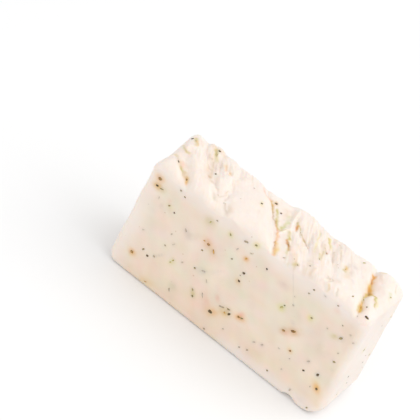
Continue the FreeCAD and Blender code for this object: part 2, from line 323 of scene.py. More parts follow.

# Stains along the creases of the top, and painted shade in its creases, grooves and hollows where the colour
# is shade: points, half width, strength and colour
TOP_STAINS = [
    ([(-34.8, 9.2), (-30.2, 8.8)], 1.1, 0.45, "tan"),
    ([(-9.1, 0.9), (-8.3, -0.4)], 0.7, 0.5, "straw"),
    ([(24.4, -8.2), (25, -9.4)], 0.3, 0.55, "shade"),
    ([(-22, -8.2), (-20.2, -9.6)], 0.8, 0.45, "shade"),
    ([(25.8, -7.6), (26.6, -8.6), (26.2, -9.8)], 0.3, 0.6, "shade"),
    ([(26.6, -11), (27.6, -12)], 0.35, 0.5, "olive"),
    ([(29.6, -10.2), (30.8, -11.8)], 0.3, 0.5, "shade"),
    ([(35.4, 8.8), (36.4, 9.8)], 0.4, 0.55, "olive"),
    ([(41.6, 7.6), (43.2, 5)], 0.3, 0.5, "shade"),
    ([(-6.6, 6.9), (-5.8, 6)], 0.75, 0.5, "golden"),
    ([(-42.2, 2.6), (-40.6, 0.8), (-39.4, 0), (-38.2, 0.2)], 0.45, 0.55, "olive"),
    ([(-41.4, -3), (-39.2, -4.9)], 0.6, 0.55, "olive"),
    ([(-37.8, -6), (-36, -7.2)], 1.4, 0.95, "tan"),
    ([(-37, -5.4), (-35.4, -7)], 0.9, 0.6, "pink"),
    ([(-36.4, -7.6), (-33.6, -8.9)], 0.65, 0.8, "olive"),
    ([(-34, -8.6), (-32.6, -9.4)], 0.5, 0.4, "coral"),
    ([(-32.6, -9.4), (-31.5, -10.3)], 0.7, 0.8, "golden"),
    ([(-31.8, -10.2), (-31, -10.9)], 0.6, 0.55, "orange"),
    ([(-33.2, 8.2), (-30.6, 5)], 0.75, 0.65, "olive"),
    ([(-33.4, 5.2), (-32.7, 4.4), (-31.8, 4.6)], 0.3, 0.75, "shade"),
    ([(-31, 4), (-30.2, 2.8), (-29.3, 2.6)], 0.3, 0.75, "shade"),
    ([(-31.2, 1.8), (-30.2, 0.7), (-29.5, 1.1)], 0.3, 0.7, "shade"),
    ([(-29.8, 4.4), (-28.4, 2.6)], 0.25, 0.6, "shade"),
    ([(-28.4, 5.4), (-26.8, 3)], 0.3, 0.5, "shade"),
    ([(-29.8, 1.6), (-28.2, -2.2), (-26.8, -5.2)], 1.6, 0.6, "tan"),
    ([(-26.8, -4), (-25.6, -4.9)], 0.8, 0.4, "brown"),
    ([(-24.8, -4.6), (-22.4, -6), (-20.6, -7.6)], 0.35, 0.6, "shade"),
    ([(-19.2, -4), (-19, -5.8), (-20, -7.6)], 0.35, 0.5, "shade"),
    ([(-18.4, -4.6), (-17.6, -7.4)], 0.3, 0.45, "shade"),
    ([(-16.8, -8.8), (-15.2, -10.6)], 0.35, 0.6, "shade"),
    ([(-15, -8.8), (-13.4, -10.4)], 0.8, 0.45, "tan"),
    ([(-14.8, -10.8), (-13.6, -12)], 0.5, 0.4, "shade"),
    ([(-41, 7.8), (-39, 4.8)], 0.6, 0.75, "olive"),
    ([(-39.8, 6.6), (-38.6, 4.8)], 0.4, 0.4, "orange"),
    ([(-39, 7.8), (-37.4, 6)], 0.4, 0.5, "shade"),
    ([(-26.6, 5), (-25.6, 3.4)], 0.7, 0.45, "orange"),
    ([(-23.8, 3.4), (-23.2, 2.8)], 0.5, 0.4, "orange"),
    ([(-25, 6.4), (-22.6, 3)], 0.3, 0.45, "shade"),
    ([(-12.8, 9.4), (-11.7, 7.4), (-8.6, 6.4)], 0.5, 0.85, "coral"),
    ([(-10, 6.4), (-8.8, 5.8)], 0.7, 0.45, "coral"),
    ([(-8, 6.5), (-6.2, 4.4), (-4.6, 2)], 0.34, 0.7, "golden"),
    ([(-6.4, 4.4), (-4.4, 1.6)], 0.3, 0.4, "brown"),
    ([(-4.6, 2.2), (-3.2, 0.2), (-1.2, -1.6)], 0.35, 0.55, "brown"),
    ([(-4.4, 4.4), (-2.6, 2), (-0.8, -1.4)], 0.55, 0.85, "olive"),
    ([(-1.6, -0.8), (-0.2, -2.2)], 0.4, 0.7, "brown"),
    ([(-0.6, -1.8), (0.8, -3), (2, -4.4)], 0.4, 0.75, "coral"),
    ([(-0.4, -2), (1.4, -3.8)], 0.25, 0.6, "rust"),
    ([(2, -4.4), (3.2, -6.8), (4, -8.4)], 0.4, 0.75, "orange"),
    ([(2.4, -4.6), (3.6, -7.4)], 0.45, 0.45, "coral"),
    ([(3.8, -8.6), (5, -10.6)], 0.35, 0.8, "brown"),
    ([(4.6, -9), (5.8, -11), (6.6, -12.6)], 0.6, 0.95, "orange"),
    ([(5.2, -9), (6.4, -10.8)], 0.6, 0.5, "straw"),
    ([(0.4, 5), (1.8, 1.6), (1.6, -1.2)], 0.8, 0.7, "green"),
    ([(-0.6, -1), (0.8, -2.8), (2.2, -3), (3, -2)], 0.4, 0.7, "olive"),
    ([(-2, 6.6), (-0.4, 3)], 1.4, 0.4, "tan"),
    ([(1.4, 1), (1.8, -0.4)], 0.6, 0.4, "olive"),
    ([(1.6, -1.6), (2.8, -3.6)], 0.5, 0.5, "olive"),
    ([(3.5, 4.4), (4.7, 3.2)], 0.28, 0.85, "olive"),
    ([(4.2, 3.4), (5.7, 0.7)], 0.22, 0.75, "rust"),
    ([(4.2, 3.6), (5.8, 0.9)], 0.3, 0.35, "orange"),
    ([(4.9, 3.4), (6.4, 2), (8.4, 0.7), (10.4, -0.5)], 0.24, 0.9, "olive"),
    ([(7.8, 1.2), (10, -0.2), (12.4, -1.9)], 0.24, 0.6, "brown"),
    ([(4.4, -1.7), (6.5, -4.6)], 0.65, 0.85, "olive"),
    ([(6.2, -5.4), (7.6, -7.4), (8.8, -8.8)], 0.35, 0.7, "rust"),
    ([(6.8, -5.8), (9, -8.8)], 0.4, 0.6, "brown"),
    ([(8.8, -9), (9.4, -10.2)], 0.5, 0.5, "olive"),
    ([(9.8, -4.8), (11.8, -6.2)], 0.9, 0.3, "shade"),
    ([(9.8, -8.4), (11.2, -9.4)], 0.7, 0.25, "pink"),
    ([(11.8, -9.4), (14, -11.4)], 0.9, 0.55, "tan"),
    ([(11.8, -12.3), (14.2, -11.2)], 0.5, 0.8, "olive"),
    ([(7.6, 6.6), (9.6, 3)], 0.3, 0.3, "shade"),
    ([(11.2, 7), (15, -2.5)], 0.3, 0.5, "straw"),
    ([(14.8, 7.4), (17.2, 4.2)], 0.4, 0.9, "olive"),
    ([(15.2, 7.6), (17.8, 4)], 0.5, 0.5, "straw"),
    ([(17, 4), (19.6, 0.6)], 0.6, 0.25, "pink"),
    ([(15.6, 2.8), (17.8, -2.4)], 1, 0.5, "tan"),
    ([(17.2, -0.4), (18.6, -3.6)], 0.4, 0.5, "olive"),
    ([(16.8, 1.4), (18.4, 0)], 0.4, 0.55, "brown"),
    ([(16.8, -2.2), (18.6, -4.6)], 0.3, 0.55, "olive"),
    ([(18.5, 8.8), (20, 6.4)], 0.3, 0.5, "shade"),
    ([(19.4, 3.6), (21.8, -1)], 0.3, 0.55, "shade"),
    ([(20.4, 5.4), (22.8, 2)], 0.4, 0.45, "shade"),
    ([(26, 2.6), (27, 0.2)], 0.5, 0.4, "shade"),
    ([(26.2, 0.2), (26.8, -0.9)], 0.7, 0.8, "golden"),
    ([(26.2, -1.8), (27.2, -1.8)], 0.35, 0.6, "olive"),
    ([(27.8, 3.2), (29, -0.4)], 1.3, 0.5, "lilac"),
    ([(28, -1.2), (28.8, -3.4)], 1.1, 0.65, "tan"),
    ([(30.9, -3.2), (31.7, -4)], 0.7, 0.55, "lilac"),
    ([(24.8, -9.4), (25.4, -8.2), (26.4, -8)], 0.4, 0.45, "shade"),
    ([(25.4, -9), (26.6, -10.6), (27.4, -12.2)], 0.45, 0.5, "tan"),
    ([(28, -7.4), (28.8, -8.4)], 0.6, 0.35, "shade"),
    ([(16.2, -6.8), (18.2, -9)], 0.9, 0.45, "shade"),
    ([(19.4, -9.4), (20.4, -12)], 0.8, 0.4, "tan"),
    ([(33.9, 6.6), (34.9, 3.8), (36, 1)], 0.45, 0.95, "rust"),
    ([(33.8, 6.8), (35.2, 3.6)], 0.7, 0.5, "orange"),
    ([(35.7, 1.6), (36.5, 0), (37.3, -1.6)], 1.1, 1.1, "golden"),
    ([(36, 0.8), (37.2, -1.4)], 0.45, 0.8, "rust"),
    ([(36.9, -0.8), (37.5, -1.9)], 0.45, 0.75, "brown"),
    ([(36.8, -2.4), (37.3, -4.6), (37.8, -6.8)], 0.4, 0.8, "olive"),
    ([(36.7, -2.8), (37.4, -6)], 0.5, 0.4, "golden"),
    ([(37.9, -6.6), (38.6, -8.2), (39.2, -9.2)], 0.5, 0.9, "golden"),
    ([(38.3, -7.6), (39.1, -9.4)], 0.4, 0.95, "orange"),
    ([(38.6, -8.4), (39.2, -9.8)], 0.9, 0.8, "golden"),
    ([(38.1, -9.8), (38.6, -10.6)], 0.45, 0.6, "olive"),
    ([(38.2, -1.8), (39.8, -2), (41.2, -4.4), (42, -6.4)], 0.33, 0.85, "olive"),
    ([(40.6, -2.2), (42.4, -5.4)], 0.5, 0.4, "straw"),
    ([(42.6, 2.6), (43.4, 1.2)], 0.6, 0.5, "green"),
    # Painted shade on the left side of the dome at the right end
    ([(34.8, 8.6), (36.8, 5.4)], 0.9, 0.35, "shade"),
    ([(36.6, 5.6), (38.6, 2)], 1.4, 0.2, "pink"),
]

# Halos on the front cut face: x, z, half length, half width, tilt in degrees, strength and colour
FRONT_STAINS = [
    (-39.2, 42, 1.8, 1.6, 0, 0.8, "orange"),
    (-38.4, 38.8, 2.2, 1.3, 10, 0.75, "golden"),
    (-33, 36.7, 0.9, 0.8, 0, 0.4, "coral"),
    (-32.3, 35, 1.3, 1, 0, 0.6, "straw"),
    (-31.2, 33.4, 1.9, 1, -50, 0.4, "tan"),
    (-22.5, 30.1, 1.7, 1.3, -30, 0.6, "grey"),
    (-17.6, 40.3, 1.9, 1.7, 0, 0.6, "olive"),
    (-18.8, 40.8, 1.6, 1.2, 0, 0.3, "tan"),
    (-9.5, 41.4, 1.1, 1.1, 0, 0.6, "straw"),
    (0.1, 44.7, 1.7, 1.2, 20, 0.7, "straw"),
    (-1.2, 37.3, 1.1, 0.9, 45, 0.9, "orange"),
    (0, 27.6, 1.2, 1, 0, 0.55, "golden"),
    (-14.9, 32.3, 2.2, 1.6, -20, 0.75, "orange"),
    (-12.4, 30.8, 1.7, 1.1, -60, 0.6, "orange"),
    (-13.5, 30.2, 2.4, 1.6, 0, 0.3, "tan"),
    (-23.5, 16.6, 1.6, 1, 60, 0.7, "straw"),
    (-12.2, 11.2, 2, 1.1, -60, 0.6, "olive"),
    (-19.5, 7.8, 1.6, 1.3, 0, 0.35, "green"),
    (-37.4, 8.9, 1.4, 1.3, 0, 0.85, "orange"),
    (-3.5, 9.7, 2.1, 1.7, 30, 0.85, "orange"),
    (-6.9, 12, 2.2, 1.3, -60, 0.4, "coral"),
    (-3.7, 16.2, 1.3, 1, -60, 0.55, "coral"),
    (0.4, 13.4, 2, 1.6, 20, 0.7, "golden"),
    (1.5, 14.5, 1.3, 1.2, 0, 0.4, "brown"),
    (5.8, 15.3, 1.9, 1.2, 20, 0.85, "orange"),
    (5.9, 17, 1.4, 1, 40, 0.7, "coral"),
    (-12.2, 21.5, 2.4, 1.3, 20, 0.75, "grey"),
    (13.9, 38.4, 1.7, 1.2, 10, 0.6, "grey"),
    (17, 30.3, 1.7, 1.4, 60, 0.85, "straw"),
    (26.8, 34.2, 1.2, 1, 40, 0.8, "straw"),
    (22.4, 28, 1, 0.8, 0, 0.25, "grey"),
    (24, 25.1, 2.1, 1.4, 35, 0.4, "brown"),
    (24.3, 25, 1.7, 1.1, 35, 0.55, "orange"),
    (21, 22.7, 1.7, 1.2, 35, 0.35, "brown"),
    (21, 22.7, 1.5, 1, 35, 0.5, "orange"),
    (36, 26.5, 4.2, 3, 20, 0.3, "shade"),
    (27.5, 27, 2.4, 1.2, 30, 0.3, "tan"),
    (22, 22.6, 1.8, 1, 40, 0.5, "coral"),
    (26.1, 17.7, 1, 1, 0, 0.65, "orange"),
    (36.7, 34.2, 1.5, 0.8, 25, 0.6, "olive"),
    (38.8, 35.2, 1.3, 1, 30, 0.4, "grey"),
    (41.4, 22.4, 0.8, 0.8, 0, 0.3, "grey"),
    (38, 16.6, 1, 1.3, 0, 0.5, "grey"),
    (39.5, 12, 2, 1.3, -60, 0.85, "orange"),
    (15.6, 6.8, 3.2, 2.4, 30, 0.28, "coral"),
    (14, 10.9, 1, 0.6, 35, 0.35, "grey"),
    (16.8, 12, 1.1, 0.7, 40, 0.35, "grey"),
    (33, 18.8, 1, 0.6, 50, 0.4, "grey"),
    (-28.5, 2.3, 2.4, 1.3, 10, 0.35, "orange"),
    (-15, 32.4, 5.4, 3.4, 10, 0.32, "lilac"),
    (-11.6, 27.8, 2.2, 1.5, 45, 0.35, "pink"),
    (-21, 31, 3, 2, 0, 0.3, "shade"),
    (-9, 24.2, 2.2, 0.8, 40, 0.35, "grey"),
    (-19.6, 8, 1.8, 1.3, -20, 0.45, "shade"),
    (-35, 33, 1, 0.6, 60, 0.3, "shade"),
    (-7.2, 11.2, 3.2, 2.6, -50, 0.22, "coral"),
    (-28.4, 15, 2.4, 0.5, 45, 0.3, "grey"),
    (40.8, 39.5, 3.2, 5, 20, 0.3, "tan"),
    (33.5, 43.7, 1.4, 1.1, 0, 0.3, "coral"),
    (36.6, 3.4, 1.8, 1.3, 0, 0.35, "lilac"),
    (37.6, 13.4, 1.6, 0.8, -50, 0.3, "tan"),
    (-36, 30.5, 3.6, 2.4, 40, 0.25, "lilac"),
    (-4, 23.5, 3, 2.2, 40, 0.2, "green"),
    (4.5, 24, 3.4, 2.6, 40, 0.2, "green"),
    (29, 28.5, 4, 2, 30, 0.25, "lilac"),
    (17.2, 33.4, 1.2, 0.9, 60, 0.3, "pink"),
    (22.4, 28, 1, 0.8, 0, 0.4, "lilac"),
    (5.2, 31, 3, 2.2, 30, 0.25, "lilac"),
]

# Faint scratches in the front cut face: points in x and z, half width, strength and colour
FRONT_SCRATCHES = [
    ([(14, 46.6), (16.2, 42.2), (18.4, 37.4), (20, 33.8)], 0.22, 0.35, "grey"),
    ([(-12.2, 21.6), (-9.4, 24.4), (-6, 27)], 0.22, 0.25, "grey"),
    ([(-29.8, 13.3), (-28.2, 15), (-27, 16.5)], 0.2, 0.25, "grey"),
    ([(24.6, 26.4), (26.4, 28.2)], 0.35, 0.25, "olive"),
]

# Flecks in the front cut face: x, z, length, width, tilt in degrees and kind
FRONT_FLECKS = [
    (-39.4, 41.8, 1.4, 1.2, 20, "petal"),
    (-39.3, 38.7, 1.2, 0.75, 10, "seed"),
    (-37.3, 38.7, 1.5, 0.45, 20, "herb"),
    (-36.9, 35, 1.2, 0.28, 100, "chaff"),
    (-32.5, 35.1, 0.9, 0.6, 40, "herb"),
    (-29.9, 34, 0.7, 0.6, 60, "seed"),
    (-31.1, 43.3, 0.9, 0.7, 0, "crumb"),
    (-29, 42.1, 0.75, 0.5, -20, "herb"),
    (-23.8, 31.2, 1.3, 0.5, -60, "chaff"),
    (-17.5, 40.4, 0.9, 0.6, 60, "leaf"),
    (-15.6, 42.7, 0.8, 0.6, 0, "crumb"),
    (-9.5, 41.3, 0.9, 0.6, 120, "herb"),
    (-3.7, 43.1, 1.7, 0.7, 20, "crumb"),
    (-0.2, 44.5, 1, 0.8, 30, "herb"),
    (-1.3, 37.3, 1, 0.6, 60, "flame"),
    (-5.3, 38.3, 1.1, 0.4, 70, "chaff"),
    (-0.5, 40.4, 0.8, 0.5, 0, "chaff"),
    (-5.5, 33.5, 0.7, 0.55, 40, "herb"),
    (0.3, 31.8, 1.2, 1, 20, "seed"),
    (-0.4, 30.2, 0.5, 0.4, 0, "seed"),
    (0.1, 27.9, 0.95, 0.85, 0, "seed"),
    (-14.7, 32.1, 1.1, 0.9, 10, "petal"),
    (-12.1, 31, 1.6, 0.6, -60, "flame"),
    (-16.5, 32.4, 0.8, 0.5, 0, "flame"),
    (-15.8, 28.6, 0.8, 0.6, 30, "herb"),
    (-27.6, 25.9, 0.9, 0.4, 70, "chaff"),
    (-25.4, 23, 1.3, 0.35, 50, "chaff"),
    (-28, 20.1, 0.8, 0.6, 20, "crumb"),
    (-37.2, 19.6, 1, 0.4, 25, "chaff"),
    (-15.4, 20.3, 0.9, 0.7, 0, "herb"),
    (-12.2, 21.6, 1.9, 0.6, 20, "chaff"),
    (-23.8, 15.8, 0.8, 0.5, 60, "leaf"),
    (-23.2, 17.2, 1, 0.45, 60, "leaf"),
    (-20.1, 19, 1, 0.5, 60, "chaff"),
    (-9.8, 19, 1.4, 0.3, -60, "chaff"),
    (-34.2, 12.9, 1, 0.6, 60, "herb"),
    (-32, 11.7, 1.1, 1, 0, "seed"),
    (-29.8, 13.3, 0.9, 0.7, 0, "crumb"),
    (-37.4, 8.9, 1.2, 1, 0, "petal"),
    (-12.8, 12.2, 1.1, 0.5, -50, "herb"),
    (-11.9, 10, 1, 0.7, -40, "herb"),
    (-20.1, 5.7, 1.5, 0.5, -70, "crumb"),
    (-4, 9.5, 1.5, 1.3, 0, "seed"),
    (-9, 13.1, 2, 0.4, -65, "chaff"),
    (-1.2, 14.3, 1.9, 0.6, 20, "crumb"),
    (1.3, 15.2, 1.2, 0.6, 10, "herb"),
    (2.1, 13.6, 1.3, 0.9, 60, "seed"),
    (0.5, 13, 0.8, 0.6, 0, "flame"),
    (5.4, 15.3, 1, 0.8, 0, "petal"),
    (6.6, 15.6, 1.1, 0.7, 30, "herb"),
    (6.5, 39.2, 0.75, 0.7, 0, "seed"),
    (17.4, 31.6, 0.65, 0.55, 0, "herb"),
    (16.8, 30.3, 1.4, 0.7, 60, "leaf"),
    (19, 37.4, 0.6, 0.4, 0, "chaff"),
    (19.9, 33.9, 0.8, 0.6, 0, "chaff"),
    (23.6, 44.6, 0.8, 0.6, 20, "herb"),
    (22.6, 42.1, 0.8, 0.6, 40, "crumb"),
    (27.8, 45.4, 0.9, 0.5, 0, "chaff"),
    (33, 45.6, 0.8, 0.5, 30, "crumb"),
    (27.2, 34.5, 0.8, 0.65, 30, "herb"),
    (24.1, 25.2, 2, 1, 35, "petal"),
    (20.9, 22.8, 1.4, 0.8, 25, "petal"),
    (26.1, 17.6, 0.9, 0.7, 60, "petal"),
    (37.4, 40, 0.6, 0.5, 0, "crumb"),
    (41.2, 38.9, 0.8, 0.6, 0, "chaff"),
    (43.4, 36.6, 0.8, 0.6, 30, "chaff"),
    (38.8, 35.3, 1.4, 0.9, 50, "herb"),
    (33.4, 35.1, 0.6, 0.5, 0, "chaff"),
    (40.5, 29.5, 0.8, 0.5, 50, "chaff"),
    (40.6, 25.5, 1.2, 0.7, 30, "herb"),
    (33.2, 18.9, 1.2, 0.5, 50, "chaff"),
    (33.1, 14.5, 0.9, 0.7, 20, "seed"),
    (38, 16.7, 1.4, 0.9, 80, "seed"),
    (39.9, 11.5, 1, 0.9, 60, "seed"),
    (37.6, 10.6, 0.7, 0.4, 60, "chaff"),
    (22.4, 15.3, 0.7, 0.5, 0, "chaff"),
    (27.1, 14.7, 0.7, 0.4, 50, "chaff"),
    (14, 10.9, 1.2, 0.5, 35, "chaff"),
    (16.8, 12.1, 1.2, 0.6, 40, "chaff"),
    (13.2, 6.2, 0.9, 0.6, 50, "crumb"),
    (10.3, 5, 0.7, 0.5, 40, "herb"),
    (2.5, 6.8, 0.7, 0.5, 0, "chaff"),
    (22.4, 4.4, 0.75, 0.6, 0, "herb"),
    (32.2, 4, 1.1, 0.7, 70, "chaff"),
    (26.4, 8.8, 0.8, 0.4, 60, "chaff"),
    (40, 2.4, 1, 0.55, 60, "herb"),
    (-28.7, 2, 0.9, 0.4, 20, "flame"),
    (-3.2, 1.8, 0.9, 0.6, 30, "crumb"),
]

# Flecks on the swirled top: x, y, length, width, tilt in degrees and kind
TOP_FLECKS = [
    (-38.3, -6.3, 1.2, 1, 0, "seed"),
    (-31.9, -10, 0.9, 0.7, -50, "petal"),
    (-32.1, 8.5, 1.3, 0.8, -10, "seed"),
    (-42, 7.2, 1.1, 0.85, 60, "seed"),
    (-27.1, 0, 0.8, 0.7, 0, "seed"),
    (-8.7, 0.3, 1, 0.8, -40, "seed"),
    (-6.2, 6.5, 1.1, 0.95, 0, "seed"),
    (-2.5, 4, 0.9, 0.7, -60, "seed"),
    (-31.7, 6.6, 1.2, 0.25, -60, "herb"),
    (-40.3, 6.4, 0.8, 0.25, -50, "herb"),
    (5.3, 1.9, 1.7, 0.2, -55, "flame"),
    (6.9, 1.8, 1, 0.22, -45, "herb"),
    (7.7, -7.3, 1.4, 0.32, -56, "petal"),
    (4.4, -9.6, 0.7, 0.25, -60, "flame"),
    (37.3, -1.5, 1.1, 0.45, -50, "petal"),
    (35, 3.4, 1.4, 0.25, -70, "petal"),
    (37.5, -5, 1, 0.2, -75, "herb"),
    (38.8, -8.8, 1.1, 0.5, -60, "flame"),
    (34.9, -9, 0.8, 0.5, 60, "herb"),
    (40.3, -8.2, 0.7, 0.5, 0, "herb"),
    (42.8, -11.2, 1.5, 0.75, -5, "seed"),
    (28.6, 8.2, 1.1, 0.6, 60, "leaf"),
    (43.3, 1.8, 0.8, 0.5, 50, "leaf"),
    (26.6, -1.2, 0.5, 0.22, 30, "petal"),
    (-14.6, 4.4, 0.7, 0.45, 40, "chaff"),
    (17.8, -8.9, 0.8, 0.5, 20, "crumb"),
    (9.6, -11.3, 1, 0.4, 40, "chaff"),
    (12.6, -10.6, 0.6, 0.35, 40, "chaff"),
    (14.6, -11, 0.6, 0.35, -40, "crumb"),
    (-17, -8.5, 0.5, 0.25, -50, "chaff"),
    (24.5, -1.8, 0.55, 0.35, 60, "herb"),
    (23.6, -1, 0.45, 0.3, 60, "chaff"),
    (25.6, -9, 0.5, 0.3, 0, "chaff"),
    (-20.8, -7.4, 0.8, 0.25, -40, "chaff"),
    (18.1, 0.4, 0.6, 0.35, 60, "petal"),
    (18.2, -4.4, 0.7, 0.2, -60, "herb"),
]


def soft_noise(points, use):
    """Gentle unevenness, mostly between -1 and 1.

    The sum of plane waves, sin(2 pi (way . point) / length + phase), of seeded random way, length and phase,
    over the root of half their number.
    """
    seed, shortest, longest = NOISES[use]
    rng = np.random.default_rng(seed)
    ways = rng.normal(size=(points.shape[1], WAVES))
    ways /= np.linalg.norm(ways, axis=0)
    lengths = rng.uniform(shortest, longest, WAVES)
    phases = rng.uniform(0.0, 2.0 * np.pi, WAVES)
    return np.sin(2.0 * np.pi * (points @ (ways / lengths)) + phases).sum(1) / math.sqrt(WAVES / 2.0)


def way_to_path(x, y, path):
    """The distance from each point to a path of straight runs: the least of the distances to the runs."""
    nearest = np.full(x.shape, np.inf)
    for (x0, y0), (x1, y1) in zip(path, path[1:]):
        dx, dy = x1 - x0, y1 - y0
        share = np.clip(((x - x0) * dx + (y - y0) * dy) / (dx * dx + dy * dy), 0.0, 1.0)
        nearest = np.minimum(nearest, np.hypot(x - x0 - share * dx, y - y0 - share * dy))
    return nearest


def soft_line(x, y, path, half_width):
    """A line along a path that fades to its sides: exp(-(distance / half width)^2)."""
    return np.exp(-(way_to_path(x, y, path) / half_width) ** 2)


def valley(x, y, path, half_width, depth):
    """The depth of a crease along a path: depth times exp(-(distance / half width)^1.5), a soft V."""
    return depth * np.exp(-(way_to_path(x, y, path) / half_width) ** 1.5)


def smooth_step(value, start, end):
    """A rise from 0 at start to 1 at end: s squared times (3 - 2 s), where s is the share of the way."""
    share = np.clip((value - start) / (end - start), 0.0, 1.0)
    return share * share * (3.0 - 2.0 * share)


def turned(x, y, angle):
    """Places measured along and across a direction at an angle to x."""
    c, s = math.cos(angle), math.sin(angle)
    return x * c + y * s, -x * s + y * c


def drawn_out(x, y, turn, stretch):
    """Places that make noise run along the stroke: turned to it, and their way along it shrunk."""
    along, across = turned(x, y, STROKE_ANGLE + turn)
    return np.stack([along / stretch, across], 1)


def fold_rise(x, y):
    """The folds melted together: the high power mean of domes, rise times exp(-(u^2 + v^2)^flatness)."""
    total = np.zeros_like(x)
    for fold_x, fold_y, half_length, half_width, rise in FOLDS:
        along, across = turned(x - fold_x, y - fold_y, STROKE_ANGLE)
        u, v = along / half_length, across / half_width
        total += (rise * np.exp(-(u * u + v * v) ** FOLD_FLATNESS)) ** FOLD_SHARPNESS
    return total ** (1.0 / FOLD_SHARPNESS)


def comb_lines(x, y):
    """Fine ridges along the stroke, strongest where the spoon combed."""
    ridges = 1.0 - 2.0 * np.abs(soft_noise(drawn_out(x, y, *COMB_DRAW), "comb"))
    combed = np.exp(-((x - COMB_X) / COMB_REACH) ** 4 - ((y - 4.0) / 8.0) ** 4)
    rest = np.exp(-((x - LEFT_COMB_X) / 10.0) ** 4 - ((y - 2.0) / 9.0) ** 4)
    return ridges * (0.02 + 0.12 * combed + 0.07 * rest)


def edge_share(x, y, reach, corner_left, corner_right):
    """How far a point is on its way from the lip's start, 0, to the outline, 1.

    (sx^p + sy^p)^(1/p), where sx and sy are the shares towards the end and the side, and p makes the result 1
    half way round each upright corner.
    """
    corner = np.where(x < 0.0, corner_left, corner_right)
    half_way = 1.0 - corner * (1.0 - math.sqrt(0.5)) / reach
    power = math.log(2.0) / -np.log(half_way)
    share_x = np.clip(1.0 - (HALF_LENGTH - np.abs(x)) / reach, 0.0, 1.0)
    share_y = np.clip(1.0 - (HALF_THICKNESS - np.abs(y)) / reach, 0.0, 1.0)
    return np.minimum((share_x**power + share_y**power) ** (1.0 / power), 1.0)


def top_height(x, y, sizes):
    """The height of the swirled top: level + folds + blisters + rims + fine lines - creases - grooves - lip.

    A blister is rise times exp(-(distance / radius)^4). The lip is a quarter ellipse, drop (1 - sqrt(1 -
    share^2)). The folds and creases are read at places shifted by noise, so that no edge runs straight.
    """
    place = np.stack([x, y], 1)
    wander_x = x + FOLD_WANDER * soft_noise(place, "wander x")
    wander_y = y + FOLD_WANDER * soft_noise(place, "wander y")
    share = (x / HALF_LENGTH + 1.0) / 2.0
    left, right = sizes.height_left / MM, sizes.height_right / MM
    height = left + (right - left) * share + fold_rise(wander_x, wander_y)
    for blister_x, blister_y, radius, rise in BLISTERS:
        apart = (wander_x - blister_x) ** 2 + (wander_y - blister_y) ** 2
        height += rise * np.exp(-(apart / radius**2) ** 2)
    for path, half_width, rise in RIMS:
        height += rise * soft_line(wander_x, wander_y, path, half_width)
    sink = np.zeros_like(x)
    for path, half_width, depth in CREASES:
        sink = np.maximum(sink, valley(wander_x, wander_y, path, half_width, depth))
    for start, end, half_width, depth in GROOVES:
        sink += valley(wander_x, wander_y, [start, end], half_width, depth)
    height += comb_lines(x, y) + FINE_RISE * soft_noise(place, "fine") - sink
    edge = edge_share(x, y, sizes.lip_reach / MM, sizes.left_corner / MM, sizes.right_corner / MM)
    drop = sizes.lip_drop / MM * (1.0 + LIP_UNEVENNESS * soft_noise(place, "lip"))
    return height - drop * (1.0 - np.sqrt(1.0 - edge * edge))


def even_arc(half, band, step):
    """Places from -half to half: even inside, and by the sine over the outer band, for the lip's roll."""
    inner = half - band
    count = round(2.0 * inner / step)
    middle = np.linspace(-inner, inner, count + 1)
    turns = np.linspace(0.0, np.pi / 2.0, round(band * np.pi / 2.0 / step) + 1)[1:]
    outer = inner + band * np.sin(turns)
    return np.concatenate([-outer[::-1], middle, outer])


def round_corners(x, y, corner_left, corner_right):
    """Draws the square corners of a grid in to round ones.

    Past the inner rectangle the larger of the two distances becomes the straight one, in the same direction.
    """
    corner = np.where(x < 0.0, corner_left, corner_right)
    out_x = np.abs(x) - (HALF_LENGTH - corner)
    out_y = np.abs(y) - (HALF_THICKNESS - corner)
    both = (out_x > 0.0) & (out_y > 0.0)
    straight = np.hypot(out_x, out_y)
    scale = np.where(both, np.maximum(out_x, out_y) / np.where(straight > 0.0, straight, 1.0), 1.0)
    new_x = np.where(both, np.sign(x) * (HALF_LENGTH - corner + out_x * scale), x)
    new_y = np.where(both, np.sign(y) * (HALF_THICKNESS - corner + out_y * scale), y)
    return new_x, new_y


def inset(z, radius):
    """How far a rounded base edge draws in at height z: radius - sqrt(radius^2 - (radius - z)^2)."""
    below = np.clip(radius - z, 0.0, radius)
    return radius - np.sqrt(radius * radius - below * below)


def grid_faces(rows, columns, closed):
    """The quads of a grid of points numbered row by row, its columns joined round if closed."""
    across = columns if closed else columns - 1
    first = np.arange(rows - 1)[:, None] * columns + np.arange(across)[None, :]
    step = np.where(np.arange(across) == columns - 1, 1 - columns, 1)[None, :]
    return np.stack([first, first + columns, first + columns + step, first + step], -1).reshape(-1, 4)


